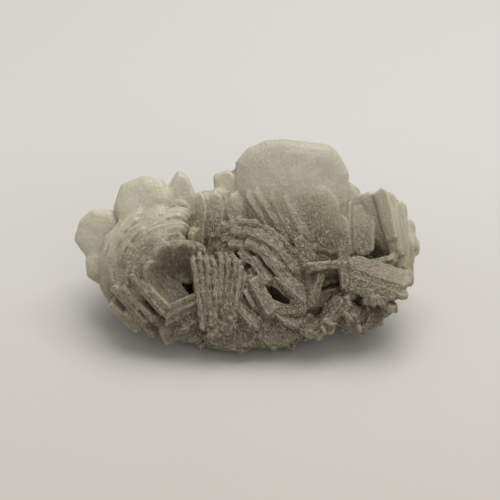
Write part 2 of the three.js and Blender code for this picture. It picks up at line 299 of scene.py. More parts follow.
# The broad combs along the bottom, and the short blades on them.
KEEL = [
    crystal(-15, -22, -2, -106, -20, 8, 13, 15, 5, "comb"),
    crystal(-3.4, -23.8, 0.4, -91, -14, -4, 13, 19, 5.4, "comb"),
    crystal(9.8, -22.8, 0.2, -78, -14, 5, 13, 18, 5.4, "comb"),
    crystal(23, -17.8, -2.6, -78, -14, 8, 13, 18, 5.4, "comb"),
    crystal(-6, -22.6, 2, -60, -10, 30, 6, 5, 2),
    crystal(-10.4, -22.6, 1.4, -110, -10, -20, 6, 5, 2),
    crystal(2, -23.4, 2.4, -75, -10, 10, 6, 6, 2),
]
# The right rose's plates, and the long leaves that run out of it.
RIGHT_SIDE = [
    crystal(22.4, -6.6, 3, 186, 14, 62, 14, 9, 2.2, "lath"),
    crystal(27.4, -7, 2.2, -84, 8, 66, 13, 6, 1.4),
    crystal(29, -8.6, 2.4, -76, 8, 60, 13, 6, 1.4),
    crystal(32, -4, -5, -48, 24, 30, 12, 8, 2.4),
    crystal(38.2, -4.4, -1, 16, 6, -30, 9, 4, 1.8, "lath"),
    crystal(37.4, -7, 1.4, -17, 2, 32, 19, 6.6, 1.7, "lath", clean=True),
    crystal(36.8, -10.2, 2.6, -22, 2, 60, 19, 6, 1.5, "lath"),
    crystal(34.8, -13.4, 3.4, -27, 3, 66, 18, 5, 1.5, "lath"),
    crystal(30.8, 5, -5.2, 86, -8, -38, 18, 7, 1.6, "lath"),
    crystal(33, 4.6, -3.9, 92, -8, 14, 15, 9, 1.4, "lath"),
    crystal(35.8, 7.6, -4.4, 126, -6, 8, 17, 6, 1.3, "lath"),
    crystal(38, 7.2, -3.2, 119, -4, 12, 18, 5.4, 1.3, "lath"),
    crystal(44, -8.6, -2, -4, -4, 20, 7, 5.4, 2.4),
    crystal(35, -13, -4, -30, -16, 20, 15, 13, 5, "comb"),
    crystal(38.6, 9.6, -6.4, 88, -4, 14, 15, 6, 2.6, "point"),
]
# The fan: long upright blades side by side, each with the height of its tip and its length.
FAN = [
    crystal(39.2 + 1.1 * i, tip - length / 2, -0.8 - 0.9 * i, 104 - 3 * i, -3 - 2 * i, 14 - 5 * i,
            length, 4.4, 1.2, "point" if i % 2 else "blade")
    for i, (tip, length) in enumerate((
        (16.6, 15), (15, 17), (15.8, 18.6), (13.6, 20), (13.4, 21), (10.6, 21), (8.4, 20)))
]
# The wall behind the right rose's hollow, in layers of petals.
RIGHT_WALL = dict(
    rose=(29.8, -7.2), angles=(4, 50), inner=12.6, outer=(15, 16.8, 19, 22, 24), depths=(-3.6, -7),
    flares=(32, 56), layers=4, petals=2, long=13, thick=2.6)
# The back's big crystals.
BACK = [
    crystal(9, 12, -13, 88, -20, 4, 26, 25, 4, "comb"),
    crystal(17, 8, -20, 82, -36, -6, 24, 22, 4, "comb"),
    crystal(2, 8, -22, 98, -44, 8, 22, 18, 3.6, "comb"),
    crystal(-24, 7, -12, 104, -26, -4, 20, 18, 4, "comb"),
    crystal(-17, 4, -20, 92, -42, 6, 20, 17, 3.6, "comb"),
    crystal(-33, 2, -15, 140, -34, 8, 18, 15, 3.6, "comb"),
    crystal(34, 4, -15, 60, -30, -6, 17, 14, 3.6, "comb"),
    crystal(14, -2, -22, 110, -64, 10, 16, 14, 3.4, "comb"),
    crystal(20, -6, -21, -40, -55, 0, 14, 13, 3.4, "comb"),
]
# The back's two roses, and a wall of petals under each, left and right by turns.
BACK_WALLS = [
    dict(rose=(-20, -3), angles=(10, 250), outer=(16, 17, 20, 19), depths=(-23, -23),
         flares=(-60, -60), petals=5, long=15, thick=3.6, curve=0.5),
    dict(rose=(17, 0), angles=(-80, 170), outer=(18, 20, 21, 17), depths=(-23, -23),
         flares=(-60, -60), petals=5, long=16, thick=3.6, curve=0.5),
    dict(rose=(-18, -8), angles=(165, 270), outer=(22, 20, 16.4, 15, 16.4), depths=(-12, -12),
         flares=(-80, -80), petals=3, long=15, thick=4.4),
    dict(rose=(20, -6), angles=(-88, 6), outer=(16.5, 16, 17.6, 19.6, 21, 22), depths=(-12, -12),
         flares=(-80, -80), petals=3, long=15, thick=4.4),
]


def studs(hollows, region, count, sizes, turns, seed, sink=0.2, side=1, tilt=1.0):
    """Small blades seated within a region of the face, or of the back if side is -1.

    The region is its left, bottom, right and top.
    """
    found = []
    left, bottom, right, top = region
    for i in range(count):
        n = seed + 13 * i
        across = left + (right - left) * chance(n)
        up = bottom + (top - bottom) * chance(n + 1)
        seat = hollows.seat(across, up, side)
        if seat is None:
            continue
        long = sizes[0] + (sizes[1] - sizes[0]) * chance(n + 2)
        found.append(crystal(
            across, up, seat - side * sink * long, turns[0] + (turns[1] - turns[0]) * chance(n + 3),
            side * tilt * 30 * (chance(n + 4) - 0.6), tilt * 100 * (chance(n + 5) - 0.5),
            long, long * (0.4 + 0.3 * chance(n + 6)) / tilt ** 0.5, 0.9 + 0.8 * chance(n + 7),
            "comb" if chance(n + 8) > 0.6 else "blade", clean=chance(n + 9) > 0.75))
    return found


def leaves(crystals, pitch, fan=3.0, seed=0, fewest=2):
    """Each crystal as a book of thin leaves that step back towards its front."""
    found = []
    for k, c in enumerate(crystals):
        count = 1 if c["cut"] in DOMED else max(fewest, round(c["thick"] / pitch))
        frame = axes_of(c["turn"], c["lean"], c["roll"])
        for j in range(count):
            n = seed + k * 53 + j * 7
            share = (j + 0.5) / count
            inset = BEVEL * c["thick"] * share ** 2 + 0.3 * (chance(n) - 0.3)
            side = 0.7 * (chance(n + 1) - 0.5)
            shift = frame @ Vector((-inset / 2, side, (share - 0.5) * c["thick"]))
            found.append(dict(
                c, at=tuple(Vector(c["at"]) + shift),
                long=c["long"] - inset, wide=c["wide"] - 1.5 * inset, thick=1.12 * c["thick"] / count,
                turn=c["turn"] + 3 * (chance(n + 2) - 0.5), roll=c["roll"] + 2 * (chance(n + 3) - 0.5),
                lean=c["lean"] + fan * (share - 0.5), pick=n,
            ))
    return found


def petals_of(plan, finer, split, thick, seed=0):
    """A rose's wall as many thin petals, jostled so that their rims run on unevenly."""
    found = []
    for k, c in enumerate(wall(**plan, finer=finer, split=split)):
        n = seed + k * 11
        frame = axes_of(c["turn"], c["lean"])
        push = frame @ Vector((0.9 * (chance(n) - 0.6), 0, 0.5 * (chance(n + 1) - 0.5)))
        grown = 1.35 + 0.3 * chance(n + 4)
        found.append(dict(
            c, at=tuple(Vector(c["at"]) + push), thick=thick,
            wide=c["wide"] * grown, bow=c["bow"] * grown * grown,
            roll=5 * (chance(n + 2) - 0.5), turn=c["turn"] + 3 * (chance(n + 3) - 0.5), pick=n,
        ))
    return found


def outline_at(cut, count, seed):
    """A cut's outline as evenly spaced points, with small steps and nicks along it."""
    corners = np.array(CUTS[cut] + CUTS[cut][:1], float)
    legs = np.linalg.norm(np.diff(corners, axis=0), axis=1)
    mile = np.concatenate(([0], np.cumsum(legs)))
    spots = np.linspace(0, mile[-1], count, endpoint=False)
    ring = np.stack([np.interp(spots, mile, corners[:, k]) for k in (0, 1)], 1)
    wave = np.array([chance(seed * 71 + i) - 0.5 for i in range(count)])
    slow = np.repeat([chance(seed * 37 + i) - 0.5 for i in range(count // 4 + 1)], 4)[:count]
    rough = 0.4 if cut in EVEN else 1.0
    nick = 1 + rough * (0.035 * wave + 0.05 * slow)
    return ring * nick[:, None]


def store(mesh, name, values):
    """Keeps a number for each point of a mesh."""
    mesh.attributes.new(name, "FLOAT", "POINT").data.foreach_set("value", values.astype(np.float32))


def plate_mesh(name, cut, seed, count=40):
    """A unit plate: broad faces with a little relief, and a rim that slopes to a worn edge."""
    ring = outline_at(cut, count, seed)
    # Its rings from the middle of the back, round the rim, to the middle of the front: how wide, how high.
    rows = [(0.42, -0.5), (0.8, -0.5), (0.965, -0.46), (1.0, -0.1), (0.95, 0.46), (0.8, 0.5), (0.42, 0.5)]
    bumpy = 0.22
    if cut in DOMED:
        shares = (0.97, 0.92, 0.84, 0.72, 0.55, 0.35, 0.17)
        rows[4:] = [(share, 0.5 * (1 - share ** 5) ** 0.5) for share in shares]
        bumpy = 0.03
    points = [(0, 0, -0.5)]
    for share, height in rows:
        for i, (u, v) in enumerate(ring * share):
            bump = chance(seed * 131 + i + round(share * 50) * 41) - 0.5
            points.append((u, v, height + (bumpy * bump if abs(height) > 0.4 else 0)))
    points.append((0, 0, 0.5))
    faces = []
    last = 1 + (len(rows) - 1) * count
    for i in range(count):
        j = (i + 1) % count
        faces.append((0, 1 + j, 1 + i))
        for row in range(len(rows) - 1):
            a = 1 + row * count
            faces.append((a + i, a + j, a + count + j, a + count + i))
        faces.append((last + i, last + j, len(points) - 1))
    mesh = bpy.data.meshes.new(name)
    mesh.from_pydata(points, [], faces, shade_flat=False)
    flat = mesh.attributes.new("flat", "FLOAT_VECTOR", "POINT")
    flat.data.foreach_set("vector", np.array(points, np.float32).ravel())
    rim = np.zeros(len(points))
    for row, (share, _) in enumerate(rows):
        rim[1 + row * count:1 + (row + 1) * count] = max(0.0, (share - 0.9) / 0.1)
    store(mesh, "rim", rim)
    sharp = mesh.attributes.new("sharp_edge", "BOOLEAN", "EDGE")
    edge = np.empty(len(mesh.edges) * 2, np.int32)
    mesh.edges.foreach_get("vertices", edge)
    row_of = (edge.reshape(-1, 2) - 1) // count
    marked = (row_of[:, 0] == row_of[:, 1]) & np.isin(row_of[:, 0], (2, 3, 4))
    sharp.data.foreach_set("value", marked)
    return mesh


class Wire:
    """An output socket. Arithmetic on it adds Math nodes to its tree."""

    def __init__(self, tree, socket):
        self.tree, self.socket = tree, socket

    def math(self, operation, *others, clamp=False):
        values = {i: v for i, v in enumerate((self, *others))}
        node = self.tree.add("ShaderNodeMath", {"operation": operation, "use_clamp": clamp}, values)
        return node["Value"]

    def __add__(self, other):
        return self.math("ADD", other)

    def __sub__(self, other):
        return self.math("SUBTRACT", other)

    def __mul__(self, other):
        return self.math("MULTIPLY", other)

    def __radd__(self, other):
        return self.math("ADD", other)

    def __rmul__(self, other):
        return self.math("MULTIPLY", other)

    def __rsub__(self, other):
        return self.tree.add("ShaderNodeMath", {"operation": "SUBTRACT"}, {0: other, 1: self})["Value"]

    def __rtruediv__(self, other):
        return self.tree.add("ShaderNodeMath", {"operation": "DIVIDE"}, {0: other, 1: self})["Value"]

    def clamp(self):
        return self.math("ADD", 0.0, clamp=True)

    def ramp(self, low, high):
        """0 below low, 1 above high, smooth between."""
        return self.tree.add(
            "ShaderNodeMapRange", {"interpolation_type": "SMOOTHSTEP"},
            {"Value": self, "From Min": low, "From Max": high})["Result"]


class Node:
    """A node whose outputs are read by name."""

    def __init__(self, tree, node):
        self.tree, self.node = tree, node

    def __getitem__(self, name):
        return Wire(self.tree, self.node.outputs[name])


class Tree:
    """A node tree under construction."""

    def __init__(self, nodes):
        self.nodes = nodes

    def add(self, kind, settings=None, values=None):
        """Any node: its settings first, then the values or links of its sockets."""
        node = self.nodes.nodes.new(kind)
        for key, value in (settings or {}).items():
            setattr(node, key, value)
        for key, value in (values or {}).items():
            socket = node.inputs[key]
            if isinstance(value, Wire):
                self.nodes.links.new(value.socket, socket)
            else:
                socket.default_value = value
        return Node(self, node)

    def mix(self, factor, first, second):
        """A mixed colour."""
        node = self.add("ShaderNodeMix", {"data_type": "RGBA"})
        for index, value in ((0, factor), (6, first), (7, second)):
            if isinstance(value, Wire):
                self.nodes.links.new(value.socket, node.node.inputs[index])
            else:
                node.node.inputs[index].default_value = value if index == 0 else (*value, 1)
        return Wire(self, node.node.outputs[2])

    def vector(self, operation, first, second=None, out="Vector", scale=None):
        """Vector arithmetic."""
        values = {0: first} if second is None else {0: first, 1: second}
        if scale is not None:
            values["Scale"] = scale
        return self.add("ShaderNodeVectorMath", {"operation": operation}, values)[out]

    def named(self, name, kind):
        """A named attribute of a mesh in a geometry tree."""
        return self.add("GeometryNodeInputNamedAttribute", {"data_type": kind}, {"Name": name})["Attribute"]

    def noise(self, place, scale, detail, roughness=0.5):
        """Cloudy noise, with its scale in cells to the metre."""
        return self.add("ShaderNodeTexNoise", None, {
            "Vector": place, "Scale": scale, "Detail": detail, "Roughness": roughness})

    def stain_depth(self, place):
        """How far a place is from the middle of the stain: 0 there and 1 at its reach."""
        offset = self.vector("SUBTRACT", place, tuple(v * MM for v in STAIN_CENTRE))
        share = self.vector("DIVIDE", offset, tuple(v * MM for v in STAIN_REACH))
        return self.vector("LENGTH", share, out="Value")


def geometry_tree(name, inputs):
    """A geometry tree with named inputs, and the identifier of each."""
    group = bpy.data.node_groups.new(name, "GeometryNodeTree")
    group.interface.new_socket("Geometry", in_out="INPUT", socket_type="NodeSocketGeometry")
    names = {}
    for label, kind in inputs.items():
        names[label] = group.interface.new_socket(label, in_out="INPUT", socket_type=kind).identifier
    group.interface.new_socket("Geometry", in_out="OUTPUT", socket_type="NodeSocketGeometry")
    tree = Tree(group)
    return tree, tree.add("NodeGroupInput"), names


def finish_tree(tree, geometry, finish):
    """Ends a geometry tree in real, painted mesh."""
    real = tree.add("GeometryNodeSetMaterial", None, {"Geometry": geometry, "Material": finish})["Geometry"]
    tree.add("NodeGroupOutput", None, {"Geometry": real})


def growing_tree():
    """Grows a plate on each point, bows it, and wears it unevenly."""
    tree, given, names = geometry_tree("growing plates", {
        "Shapes": "NodeSocketCollection", "Ripple": "NodeSocketFloat", "Ripple size": "NodeSocketFloat",
        "Wear": "NodeSocketFloat", "Wear size": "NodeSocketFloat", "Finish": "NodeSocketMaterial",
    })
    shapes = tree.add("GeometryNodeCollectionInfo", None, {
        "Collection": given["Shapes"], "Separate Children": True, "Reset Children": True})["Instances"]
    turned = tree.add("FunctionNodeEulerToRotation", None, {"Euler": tree.named("turned", "FLOAT_VECTOR")})
    grown = tree.add("GeometryNodeInstanceOnPoints", None, {
        "Points": given["Geometry"], "Instance": shapes, "Pick Instance": True,
        "Instance Index": tree.named("shape", "INT"), "Rotation": turned["Rotation"],
        "Scale": tree.named("size", "FLOAT_VECTOR"),
    })["Instances"]
    real = tree.add("GeometryNodeRealizeInstances", None, {"Geometry": grown})["Geometry"]
    flat = tree.named("flat", "FLOAT_VECTOR")
    size = tree.named("size", "FLOAT_VECTOR")
    place = tree.add("GeometryNodeInputPosition")["Position"]
    parts = tree.add("ShaderNodeSeparateXYZ", None, {"Vector": flat})
    waves = tree.noise(place, 1.0 / (given["Ripple size"] + TINY), 2.0)["Fac"]
    lift = tree.named("bow", "FLOAT") * parts["Y"] * parts["Y"] + (waves - 0.5) * given["Ripple"]
    crumbs = tree.noise(place, 1.0 / (given["Wear size"] + TINY), 3.0)["Color"]
    loose = tree.vector("SUBTRACT", crumbs, (0.5, 0.5, 0.5))
    worn = tree.vector("SCALE", loose, scale=given["Wear"])
    lifted = tree.vector("SCALE", tree.named("facing", "FLOAT_VECTOR"), scale=lift)
    moved = tree.add("GeometryNodeSetPosition", None, {
        "Geometry": real, "Offset": tree.vector("ADD", lifted, worn)})["Geometry"]
    kept = tree.add("GeometryNodeStoreNamedAttribute", {"data_type": "FLOAT_VECTOR", "domain": "POINT"}, {
        "Geometry": moved, "Name": "grain", "Value": tree.vector("MULTIPLY", flat, size)})["Geometry"]
    finish_tree(tree, kept, given["Finish"])
    return tree.nodes, names


def skin_tree():
    """Gives a fused skin the marks of the plates under it, and a granular surface."""
    tree, given, names = geometry_tree("granular skin", {
        "Plates": "NodeSocketObject", "Softening": "NodeSocketInt", "Swell": "NodeSocketFloat",
        "Swell size": "NodeSocketFloat", "Grain": "NodeSocketFloat", "Grain size": "NodeSocketFloat",
        "Finish": "NodeSocketMaterial",
    })
    plates = tree.add("GeometryNodeObjectInfo", None, {"Object": given["Plates"]})["Geometry"]
    skin = given["Geometry"]
    marks = {"turned": "FLOAT_VECTOR", "grain": "FLOAT_VECTOR", "tint": "FLOAT", "rim": "FLOAT"}
    for name, kind in marks.items():
        nearest = tree.add("GeometryNodeSampleNearestSurface", {"data_type": kind}, {
            "Mesh": plates, "Value": tree.named(name, kind)})["Value"]
        skin = tree.add("GeometryNodeStoreNamedAttribute", {"data_type": kind, "domain": "POINT"}, {
            "Geometry": skin, "Name": name, "Value": nearest})["Geometry"]
    place = tree.add("GeometryNodeInputPosition")["Position"]
    worn = tree.add("GeometryNodeBlurAttribute", {"data_type": "FLOAT_VECTOR"}, {
        "Value": place, "Iterations": given["Softening"],
        "Weight": tree.stain_depth(place).ramp(0.35, 0.8)})["Value"]
    skin = tree.add("GeometryNodeSetPosition", None, {"Geometry": skin, "Position": worn})["Geometry"]
    swell = tree.noise(place, 1.0 / (given["Swell size"] + TINY), 2.0)["Fac"]
    grains = tree.add("ShaderNodeTexVoronoi", {"feature": "F1"}, {
        "Vector": place, "Scale": 1.0 / (given["Grain size"] + TINY)})["Distance"]
    lift = (swell - 0.5) * given["Swell"] + (0.45 - grains) * given["Grain"]
    offset = tree.vector("SCALE", tree.add("GeometryNodeInputNormal")["Normal"], scale=lift)
    moved = tree.add("GeometryNodeSetPosition", None, {"Geometry": skin, "Offset": offset})["Geometry"]
    smooth = tree.add("GeometryNodeSetShadeSmooth", None, {"Geometry": moved, "Shade Smooth": True})
    finish_tree(tree, smooth["Geometry"], given["Finish"])
    return tree.nodes, names


def scatter_tree(name, marker, along_growth):
    """Scatters small crystals over a mesh as thickly as one of its attributes says.

    They lie along the growth of the plate under them, or else stand up from it any way round.
    """
    tree, given, names = geometry_tree(name, {
        "Shapes": "NodeSocketCollection", "Density": "NodeSocketFloat", "Smallest": "NodeSocketFloat",
        "Largest": "NodeSocketFloat", "Tilt": "NodeSocketFloat", "Seed": "NodeSocketInt",
        "Finish": "NodeSocketMaterial",
    })
    thickly = given["Density"] * tree.named(marker, "FLOAT")
    spots = tree.add("GeometryNodeDistributePointsOnFaces", {"distribute_method": "RANDOM"}, {
        "Mesh": given["Geometry"], "Density": thickly, "Seed": given["Seed"]})
    shapes = tree.add("GeometryNodeCollectionInfo", None, {
        "Collection": given["Shapes"], "Separate Children": True, "Reset Children": True})["Instances"]
    turn = spots["Rotation"]
    low, high = (-0.6, -1.4, -math.pi), (0.6, -0.4, math.pi)
    if along_growth:
        turned = tree.named("turned", "FLOAT_VECTOR")
        growth = tree.add("FunctionNodeEulerToRotation", None, {"Euler": turned})
        turn = tree.add("FunctionNodeAlignRotationToVector", {"axis": "Z"}, {
            "Rotation": growth["Rotation"], "Vector": spots["Normal"]})["Rotation"]
        low, high = (-0.2, -0.5, -0.45), (0.2, -0.05, 0.45)
    spin = tree.add("FunctionNodeRandomValue", {"data_type": "FLOAT_VECTOR"}, {
        0: low, 1: high, "Seed": given["Seed"]})
    bent = tree.vector("SCALE", Wire(tree, spin.node.outputs[0]), scale=given["Tilt"])
    by = tree.add("FunctionNodeEulerToRotation", None, {"Euler": bent})["Rotation"]
    tilt = tree.add("FunctionNodeRotateRotation", {"rotation_space": "LOCAL"}, {
        "Rotation": turn, "Rotate By": by})
    sizes = tree.add("FunctionNodeRandomValue", {"data_type": "FLOAT"}, {
        2: given["Smallest"], 3: given["Largest"], "Seed": given["Seed"] + 1})
    grown = tree.add("GeometryNodeInstanceOnPoints", None, {
        "Points": spots["Points"], "Instance": shapes, "Pick Instance": True,
        "Rotation": tilt["Rotation"], "Scale": Wire(tree, sizes.node.outputs[1])})["Instances"]
    real = tree.add("GeometryNodeRealizeInstances", None, {"Geometry": grown})["Geometry"]
    finish_tree(tree, real, given["Finish"])
    return tree.nodes, names


def run_tree(mesh, tree, settings, name, fused=0.0):
    """The plain mesh that a geometry tree makes of a mesh, fused into one skin first if asked."""
    group, names = tree
    seedling = bpy.data.objects.new(name + " seedling", mesh)
    bpy.context.scene.collection.objects.link(seedling)
    if fused:
        weld = seedling.modifiers.new("weld", "REMESH")
        weld.mode, weld.voxel_size = "VOXEL", fused
    modifier = seedling.modifiers.new("grow", "NODES")
    modifier.node_group = group
    for label, value in settings.items():
        modifier[names[label]] = value
    seen = bpy.context.evaluated_depsgraph_get()
    grown = bpy.data.meshes.new_from_object(seedling.evaluated_get(seen))
    grown.name = name
    bpy.data.objects.remove(seedling)
    return grown


def seeds_mesh(book):
    """A point for each plate of a book, with what the growing tree needs to know of it."""
    kinds = sorted(CUTS)
    frames = [STAND.to_3x3() @ axes_of(p["turn"], p["lean"], p["roll"]) for p in book]
    mesh = bpy.data.meshes.new("seeds")
    mesh.from_pydata([tuple(STAND @ Vector(p["at"]) * MM) for p in book], [], [])
    for name, values in (
        ("turned", [tuple(frame.to_euler("XYZ")) for frame in frames]),
        ("size", [(p["long"] / 2 * MM, p["wide"] / 2 * MM, p["thick"] * MM) for p in book]),
        ("facing", [tuple(frame.col[2]) for frame in frames]),
    ):
        layer = mesh.attributes.new(name, "FLOAT_VECTOR", "POINT")
        layer.data.foreach_set("vector", np.array(values, np.float32).ravel())
    picks = [kinds.index(p["cut"]) * VARIANTS + int(VARIANTS * chance(p["pick"] + 900)) for p in book]
    mesh.attributes.new("shape", "INT", "POINT").data.foreach_set("value", np.array(picks, np.int32))
    store(mesh, "bow", np.array([p["bow"] * MM for p in book]))
    store(mesh, "tint", np.array([CLEAN if p["clean"] else chance(p["pick"] + 77) for p in book]))
    return mesh


class Openness:
    """How open the space is near any point, read from the solid in coarse cells."""

    CELL = 0.9 * MM
    PAD = 12 * CELL
    # How many cells round a point count as near it, and as about it.
    NEAR, WIDE = 2, 5
    # A ray at the specimen starts this far from the middle of its face, in millimetres.
    START = 60

    def __init__(self, node):
        verts = [node.matrix_world @ v.co for v in node.data.vertices]
        self.tree = BVHTree.FromPolygons(verts, [tuple(p.vertices) for p in node.data.polygons])
        cloud = np.array(verts)
        self.low = cloud.min(0) - self.PAD
        shape = np.ceil((cloud.max(0) + self.PAD - self.low) / self.CELL).astype(int)
        full = np.zeros(shape, np.float32)
        for i in range(shape[0]):
            for j in range(shape[1]):
                x, y = self.low[:2] + (np.array((i, j)) + 0.5) * self.CELL
                hits = self.crossings(x, y)
                for a, b in zip(hits[::2], hits[1::2]):
                    k0, k1 = (int((h - self.low[2]) / self.CELL) for h in (a, b))
                    full[i, j, k0:k1 + 1] = 1
        self.wide = self.blur(full, self.WIDE)
        self.near = self.blur(full, self.NEAR)

    def crossings(self, x, y):
        """The heights at which an upright line goes into the solid and out of it."""
        hits, z = [], self.low[2]
        while True:
            place, _, _, _ = self.tree.ray_cast(Vector((x, y, z)), Vector((0, 0, 1)))
            if place is None:
                return hits
            hits.append(place.z)
            z = place.z + TINY

    def seat(self, across, up, side=1):
        """How far out the face, or the back, is at a place on it, in millimetres, or None beside it."""
        start = STAND @ Vector((across, up, self.START * side)) * MM
        place, _, _, far = self.tree.ray_cast(start, STAND.to_3x3() @ Vector((0, 0, -side)))
        return None if place is None else side * (self.START - far / MM)

    @staticmethod
    def blur(cells, reach):
        """Cells averaged twice over with those within reach of them."""
        for _ in range(2):
            for axis in range(3):
                room = [(reach + 1, reach) if a == axis else (0, 0) for a in range(3)]
                padded = np.cumsum(np.pad(cells, room), axis)
                n = padded.shape[axis]
                high = np.take(padded, range(2 * reach + 1, n), axis)
                low = np.take(padded, range(0, n - 2 * reach - 1), axis)
                cells = (high - low) / (2 * reach + 1)
        return cells

    def at(self, points, normals):
        """How open it is a little way off each point: 0 deep in a hollow, 1 on a ridge."""
        found = []
        for cells, off in ((self.wide, 2.5 * MM), (self.near, 1.2 * MM)):
            spot = ((points + normals * off - self.low) / self.CELL).astype(int)
            spot = np.clip(spot, 0, np.array(cells.shape) - 1)
            found.append(1 - cells[spot[:, 0], spot[:, 1], spot[:, 2]])
        return found


def surface_of(mesh):
    """A mesh's points and the normals at them."""
    found = []
    for data, field in ((mesh.vertices, "co"), (mesh.vertex_normals, "vector")):
        values = np.empty(len(data) * 3, np.float32)
        data.foreach_get(field, values)
        found.append(values.reshape(-1, 3))
    return found


def mark_hollows(mesh, hollows):
    """Stores on a mesh how open it is, far and near, and how thickly grit and slivers grow on it."""
    points, normals = surface_of(mesh)
    wide, near = hollows.at(points, normals)
    low = np.clip(1.3 - points[:, 2] / (30 * MM), 0, 1)
    deep = np.linalg.norm((points / MM - STAIN_CENTRE) / STAIN_REACH, axis=1)
    store(mesh, "open_wide", wide)
    store(mesh, "open_near", near)
    store(mesh, "grit", np.clip((0.75 - wide) * 2.2, 0.02, 1) * (0.25 + 0.75 * low))
    store(mesh, "feather", np.clip((wide - 0.35) * 3, 0.15, 1) * np.clip((1.05 - deep) * 3, 0, 1))


def mark_edges(mesh, rounds=2):
    """Stores how sharply a mesh bends: above half on edges that stand out, below it in creases."""
    points, normals = surface_of(mesh)
    count = len(points)
    ends = np.empty(len(mesh.edges) * 2, np.int32)
    mesh.edges.foreach_get("vertices", ends)
    ends = ends.reshape(-1, 2)
    here, there = np.concatenate((ends[:, 0], ends[:, 1])), np.concatenate((ends[:, 1], ends[:, 0]))
    degree = np.maximum(np.bincount(here, minlength=count), 1)

    def around(values):
        return np.bincount(here, weights=values[there], minlength=count) / degree

    step = np.linalg.norm(points[ends[:, 0]] - points[ends[:, 1]], axis=1).mean()
    bend = sum((points[:, k] - around(points[:, k])) * normals[:, k] for k in range(3)) / step
    for _ in range(rounds):
        bend = 0.4 * bend + 0.6 * around(bend)
    store(mesh, "ridge", np.clip(0.5 + 2.2 * bend, 0, 1))


def attribute(tree, name, out="Fac"):
    """A stored attribute in a shader tree."""
    return tree.add("ShaderNodeAttribute", {"attribute_name": name})[out]


def new_material(name):
    """An empty material, and the tree of its nodes."""
    material = bpy.data.materials.new(name)
    material.use_nodes = True
    material.node_tree.nodes.clear()
    return material, Tree(material.node_tree)


# The crystal's own colours, each with the one that it clouds into.
PALE = ((0.338, 0.32, 0.24), (0.284, 0.265, 0.188))
STAINED = ((0.143, 0.113, 0.06), (0.098, 0.077, 0.042))
# The tints laid over them everywhere alike, painted light and painted shade among them.
# Painted light: the paler tint of the left side, as if a lamp lit it more strongly.
PAINTED_LEFT_LIGHT = (0.6, 0.575, 0.45)
WHITER = (0.6, 0.57, 0.45)
WARM = (0.285, 0.237, 0.128)
DEEP = (0.065, 0.051, 0.028)
CLAY = (0.135, 0.097, 0.044)
# Clay and painted shade: the dark brown put into the hollows, for the clay there and the shade that falls
# into them.
HOLLOW_SHADE_AND_CLAY = (0.075, 0.051, 0.023)
# Painted shade: the dark put into the narrow gaps between plates.
GAP_SHADE = (0.13, 0.099, 0.057)
# The tints that differ: on clean crystal, and where clay has stained it.
TINTS = {
    "light blotch": ((0.53, 0.5, 0.375), (0.21, 0.172, 0.101)),
    "dark blotch": ((0.31, 0.285, 0.2), (0.105, 0.081, 0.045)),
    "groove": ((0.3, 0.27, 0.18), (0.1, 0.079, 0.048)),
    # Painted highlight: the whitish tint of the plates' rims, where light catches them.
    "rim": ((0.56, 0.535, 0.41), (0.27, 0.23, 0.145)),
    "rosy plate": ((0.52, 0.414, 0.304), (0.27, 0.197, 0.165)),
    # Painted highlight on the edges that stand out.
    "worn edge": ((0.58, 0.555, 0.43), (0.31, 0.265, 0.17)),
    # Clay and painted shade in the creases.
    "crease": ((0.25, 0.222, 0.15), (0.055, 0.041, 0.023)),
    # Pale grains of the druse, with painted glints among them.
    "light speck": ((0.66, 0.635, 0.5), (0.335, 0.295, 0.2)),
    "dark speck": ((0.25, 0.226, 0.155), (0.055, 0.042, 0.022)),
}
# Cells to the metre of a plate's fibres and of its growth lines: along it, across it and through it.
FIBRES = (850.0, 3000.0, 2500.0)
GROWTH_LINES = (160.0, 1300.0, 700.0)


